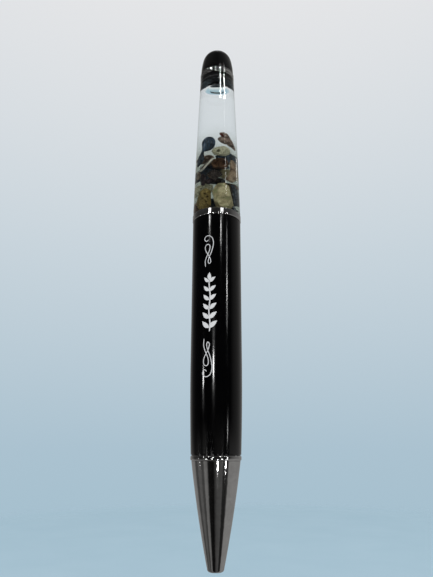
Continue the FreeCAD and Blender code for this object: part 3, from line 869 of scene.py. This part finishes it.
def smooth_path(points, per_span=8):
    """A smooth curve through the points."""
    ends = [points[0]] + list(points) + [points[-1]]
    curve = []
    for k in range(1, len(ends) - 2):
        before, first, second, after = (Vector(ends[k + j]) for j in (-1, 0, 1, 2))
        for j in range(per_span):
            t = j / per_span
            curve.append(
                0.5 * (
                    2 * first + (second - before) * t
                    + (2 * before - 5 * first + 4 * second - after) * t * t
                    + (3 * first - before - 3 * second + after) * t * t * t
                )
            )
    curve.append(Vector(ends[-2]))
    return curve


def section(middle, half):
    """The four corners of a painted mark's cross-section on the barrel."""
    edges = ((-half, -mark_depth), (half, -mark_depth), (half, mark_lift), (-half, mark_lift))
    return [on_barrel(middle.x + edge.x, middle.y + edge.y, lift) for edge, lift in edges]


def strip(sections):
    """A closed skin through sections of four corners."""
    points = [corner for corners in sections for corner in corners]
    last = len(points) - 4
    faces = tube_faces(len(sections), 4)
    faces += [(0, 1, 2, 3), (last + 3, last + 2, last + 1, last)]
    return points, faces


def stroke(path, width):
    """A painted line on the barrel, closed all round; its ends taper."""
    sections = []
    last = len(path) - 1
    for k, spot in enumerate(path):
        ahead = path[min(k + 1, last)] - path[max(k - 1, 0)]
        side = Vector((-ahead.y, ahead.x)).normalized()
        taper = min(1.0, 0.55 + 0.15 * min(k, last - k))
        sections.append(section(spot, side * width / 2 * taper))
    return strip(sections)


def leaf(root, heading, length, width, steps=10):
    """A pointed leaf from its root, as a closed patch on the barrel."""
    way = Vector((math.cos(heading), math.sin(heading)))
    side = Vector((-way.y, way.x))
    sections = []
    for k in range(steps + 1):
        share = k / steps
        half = width / 2 * math.sin(math.pi * share**0.8) + 0.02
        middle = root + way * length * share + side * 0.12 * math.sin(math.pi * share)
        sections.append(section(middle, side * half))
    return strip(sections)


def joined(parts):
    points, faces = [], []
    for some_points, some_faces in parts:
        shift = len(points)
        points += some_points
        faces += [tuple(shift + each for each in face) for face in some_faces]
    return mesh_of(points, faces)


# The scroll's line, as (across, along) from its middle, its hooked end up
scroll_line = [
    (-0.75, -4.11), (-0.86, -2.85), (-0.63, -1.88), (-0.18, -0.87), (0.21, -0.01), (0.40, 0.89),
    (0.27, 1.54), (-0.17, 1.80), (-0.67, 1.54), (-0.88, 0.89), (-0.69, 0.07), (-0.22, -0.80),
    (0.23, -1.51), (0.54, -2.33), (0.60, -2.96), (0.24, -3.35), (-0.07, -2.92), (0.05, -2.11),
    (0.30, -1.43), (0.58, -0.76), (0.86, -0.01), (1.10, 0.89), (1.27, 2.11), (1.09, 3.13),
    (0.69, 3.78), (0.06, 4.11), (-0.62, 4.01), (-1.05, 3.52), (-0.98, 3.02), (-0.54, 2.60),
    (-0.04, 2.98),
]
scroll_width = 0.18


def scroll(middle_across, middle_height, stretch):
    path = [(middle_across + x, middle_height + z * stretch) for x, z in scroll_line]
    return stroke(smooth_path(path), scroll_width)


for name, across, height, stretch in (
    ("upper_scroll", -2.06, 72.87, 1.0), ("lower_scroll", -2.27, 46.1, -1.09),
):
    line = mesh_of(*scroll(across, height, stretch))
    new_piece(name, line, "lower_half", None, [marks_paint], False)


def sprig():
    """A stem with pairs of leaves and one at its top."""
    stem_across = -1.7
    bottom, top = 52.3, 65.2
    pairs = 6
    parts = []
    stem = [
        (stem_across + 0.14 * math.sin((z - bottom) * 0.9), z)
        for z in (bottom + (top - bottom) * k / 12 for k in range(13))
    ]
    parts.append(stroke(smooth_path(stem, 4), 0.3))
    for k in range(pairs):
        height = bottom + 0.9 + (top - bottom - 1.4) * k / (pairs - 1)
        size = 1.0 - 0.05 * k
        for side in (-1, 1):
            root = Vector((stem_across + 0.1 * side, height))
            heading = math.radians(90 - side * 46)
            parts.append(leaf(root, heading, 2.45 * size, 1.05 * size))
    parts.append(leaf(Vector((stem_across, top)), math.radians(90), 2.0, 0.9))
    return joined(parts)


new_piece("leaf_sprig", sprig(), "lower_half", None, [marks_paint], False)


# Studio


def facing(position, target):
    way = Vector(target) - Vector(position)
    return way.to_track_quat("-Z", "Y").to_euler()


def lamp(name, position, target, width, height, radiance):
    """A rectangular soft light; all lengths in millimetres."""
    light = bpy.data.lights.new(name, "AREA")
    light.shape = "RECTANGLE"
    light.size = width * MM
    light.size_y = height * MM
    light.energy = radiance * math.pi * width * height * MM * MM
    holder = bpy.data.objects.new(name, light)
    holder.location = Vector(position) * MM
    holder.rotation_euler = facing(position, target)
    holder.visible_camera = False
    holder.visible_transmission = False
    bpy.context.collection.objects.link(holder)
    return holder


def gleam(name, azimuth, barrel_low, barrel_high, width, radiance, distance=800.0):
    """A lamp mirrored in an upright wall between two heights, azimuth degrees right of the lens."""
    reach = camera_distance - barrel_radius
    ends = [z + (z - cone_lip) / reach * distance for z in (barrel_low, barrel_high)]
    turn = math.radians(azimuth)
    middle = (ends[0] + ends[1]) / 2
    position = (distance * math.sin(turn), -distance * math.cos(turn), middle)
    target = (0, 0, (barrel_low + barrel_high) / 2)
    lamp(name, position, target, width, ends[1] - ends[0], radiance)


def sparkle(name, azimuth, radiance, target_height, spread):
    """A small lamp close in front, mirrored where a bead or an edge of metal faces down to it."""
    turn = math.radians(azimuth)
    position = (sparkle_reach * math.sin(turn), -sparkle_reach * math.cos(turn), sparkle_height)
    holder = lamp(name, position, (0, 0, target_height), sparkle_size, sparkle_size, radiance)
    holder.data.spread = math.radians(spread)
    holder.visible_diffuse = False


# Strip lights: name, azimuth, lowest and highest point of the mirror image, width and radiance
for strip_light in (
    # on the barrel
    ("left_of_lens", -12.0, 39.5, 46.4, 62, 46),
    ("left_of_lens_glow", -12.0, 35.0, 54.0, 150, 0.6),
    ("far_left", -58.0, 37.4, 40.8, 52, 44),
    ("right_high", 49.0, 60.0, 65.5, 26, 34),
    ("right_high_faint", 49.0, 54.0, 77.0, 26, 9),
    ("right_top", 20.0, 75.7, 80.4, 30, 44),
    ("left_top", -34.0, 80.2, 83.0, 80, 30),
    ("right_low", 52.0, 22.5, 26.5, 32, 14),
    # windows that show in the centre ring
    ("left_window", -33.0, 83.8, 91.0, 170, 3.6),
    ("right_window", 25.0, 83.8, 91.0, 190, 3.6),
    # on the chamber, whose wall leans back
    ("chamber_right", 47.5, 96.5, 106.5, 60, 5),
    ("chamber_line", 45.5, 113.0, 130.0, 20, 5),
    ("chamber_edge", 132.0, 95.3, 102.4, 90, 3.5),
    ("chamber_top_right", 50.0, 130.5, 138.5, 100, 32),
    ("chamber_top_middle", 22.5, 132.5, 140.5, 130, 22),
):
    gleam(*strip_light)

# Narrow beams from close in front that sparkle on the metal's beads and edges
sparkle_reach = 100.0
sparkle_height = 10.0
sparkle_size = 10.0
for target, target_height, spread, beams in (
    ("bead", cone_lip, 12.0, ((-80, 0.15), (-42, 0.22), (-18, 0.18), (28, 0.17))),
    ("ring", ring_top, 24.0, ((-80, 0.6), (-42, 0.9), (-18, 0.75), (28, 0.7))),
    ("cap", chamber_top, 24.0, ((-48, 4.0), (-6, 0.3), (21, 7.0), (64, 5.0))),
):
    for azimuth, radiance in beams:
        sparkle(f"{target}_sparkle_{azimuth}", azimuth, radiance, target_height, spread)

# Small lights low in front, mirrored near the lip of the cone
lamp("cone_middle", (31, -213, -33.0), (0, 0, 20), 14, 18, 40)
lamp("cone_right", (150, -142, -24), (0, 0, 20), 11, 17, 36)

# Backdrop colours from high to low in the picture
sky = srgb(228, 229, 231)
sky_middle = srgb(200, 212, 220)
horizon = srgb(171, 194, 208)
ground = srgb(162, 190, 205)

# Plain soft light by height, from below to above
soft_light = ((0.0, 0.42), (0.5, 0.55), (1.0, 0.95))

# The dim room that polished surfaces mirror: (azimuth right of the lens, level) below and above
room_low = (
    (-150, 0.33), (-120, 0.3), (-112, 0.1), (-98, 0.1), (-94, 0.17), (-78, 0.16), (-74, 0.09),
    (-62, 0.1), (-58, 0.27), (-46, 0.25), (-37, 0.012), (-12, 0.006), (-5, 0.05), (8, 0.1),
    (31, 0.12), (36, 0.03), (52, 0.02), (60, 0.06), (66, 0.36), (102, 0.38), (150, 0.33),
)
room_high = (
    (-145, 0.3), (-125, 0.09), (-100, 0.02), (-70, 0.004), (0, 0.002), (65, 0.006), (84, 0.13),
    (110, 0.22), (140, 0.34),
)
ceiling = ((-150, 0.3), (-110, 0.08), (-60, 0.09), (0, 0.05), (60, 0.12), (110, 0.22), (150, 0.34))
room_tint = (1.0, 0.985, 0.96)

# Edges of the room's parts by a direction's height, and the turn in radians where it opens behind
room_edge = (-0.06, 0.02)
ceiling_edge = (0.415, 0.465)
behind_edge = (2.85, 3.1)


def studio_world():
    """The backdrop as the lens sees it, soft light for the object, and the room for reflections."""
    world = bpy.data.worlds.new("studio")
    world.use_nodes = True
    bpy.context.scene.world = world
    graph = Graph(world.node_tree)
    way = graph.node("TexCoord").outputs["Generated"]
    xyz = graph.node("SeparateXYZ", Vector=way)
    height = graph.math("ADD", graph.math("MULTIPLY", xyz.outputs["Z"], 0.5), 0.5)
    round_about = graph.math(
        "ARCTAN2", xyz.outputs["X"], graph.math("MULTIPLY", xyz.outputs["Y"], -1.0)
    )
    azimuth = graph.math("ADD", graph.math("DIVIDE", round_about, 2 * math.pi), 0.5)

    def room(levels):
        stops = [(0.5 + where / 360, scaled(room_tint, level)) for where, level in levels]
        return graph.ramp(azimuth, *stops)

    backdrop = graph.ramp(
        height, (0.4, ground), (0.505, horizon), (0.68, sky_middle), (0.86, sky)
    )
    near = graph.mix(graph.level(xyz.outputs["Z"], *room_edge), room(room_low), room(room_high))
    near = graph.mix(graph.level(xyz.outputs["Z"], *ceiling_edge), near, room(ceiling))
    behind = graph.level(graph.math("ABSOLUTE", round_about), *behind_edge)
    mirrored = graph.mix(behind, near, backdrop)
    soft = graph.ramp(height, *[(where, (level, level, level, 1)) for where, level in soft_light])
    path = graph.node("LightPath")
    light = graph.mix(path.outputs["Is Glossy Ray"], soft, mirrored)
    light = graph.mix(path.outputs["Is Transmission Ray"], light, backdrop)
    light = graph.mix(path.outputs["Is Camera Ray"], light, backdrop)
    shade = graph.node("Background", Color=light, Strength=1.0)
    out = graph.node("OutputWorld")
    graph.feed(out.inputs["Surface"], shade.outputs[0])


floor_height = -42.0
floor_radius = 400.0
floor_centre = (40.0, 330.0)
floor_deep = (0.415, 0.58, 0.685, 1)
floor_pale = (0.435, 0.60, 0.705, 1)


def studio_floor():
    """A pale round floor under and behind the pen that fades out into the backdrop."""
    made, graph = material("pale_floor")
    reach = graph.node("VectorMath", {"operation": "LENGTH"}, Vector=graph.place())
    fade = graph.level(reach.outputs["Value"], 0.55 * floor_radius, 0.98 * floor_radius)
    cloud = graph.noise(graph.place(0.02), 1.0, 3.0)
    colour = graph.ramp(cloud, (0.3, floor_deep), (0.7, floor_pale))
    matte = graph.node("BsdfDiffuse", Color=colour).outputs[0]
    open_air = graph.node("BsdfTransparent", Color=(1, 1, 1, 1)).outputs[0]
    mirrored = graph.node("LightPath").outputs["Is Glossy Ray"]
    graph.surface(graph.either(graph.math("MAXIMUM", fade, mirrored), matte, open_air))
    around = 96
    ring = [
        (math.cos(2 * math.pi * k / around), math.sin(2 * math.pi * k / around))
        for k in range(around)
    ]
    points = [(floor_radius * x, floor_radius * y, 0) for x, y in ring]
    mesh = mesh_of(points, [tuple(range(around))])
    mesh.transform(Matrix.Scale(MM, 4))
    mesh.materials.append(made)
    disc = bpy.data.objects.new("studio_floor", mesh)
    disc.location = Vector((floor_centre[0], floor_centre[1], floor_height)) * MM
    bpy.context.collection.objects.link(disc)


def studio_camera():
    """The lens, level with the lip of the cone and tilted up along the pen."""
    lens = bpy.data.cameras.new("camera")
    lens.sensor_width = sensor
    lens.lens = camera_lens
    lens.clip_start = 0.005
    lens.clip_end = 20
    camera = bpy.data.objects.new("camera", lens)
    tilt = Matrix.Rotation(math.radians(90 + camera_tilt), 4, "X")
    lean = Matrix.Rotation(math.radians(camera_lean), 4, "Z")
    place = Matrix.Translation((0, -camera_distance * MM, cone_lip * MM))
    camera.matrix_world = place @ tilt @ lean
    bpy.context.collection.objects.link(camera)
    bpy.context.scene.camera = camera


studio_world()
studio_floor()
studio_camera()
bpy.context.scene.view_settings.view_transform = "Standard"
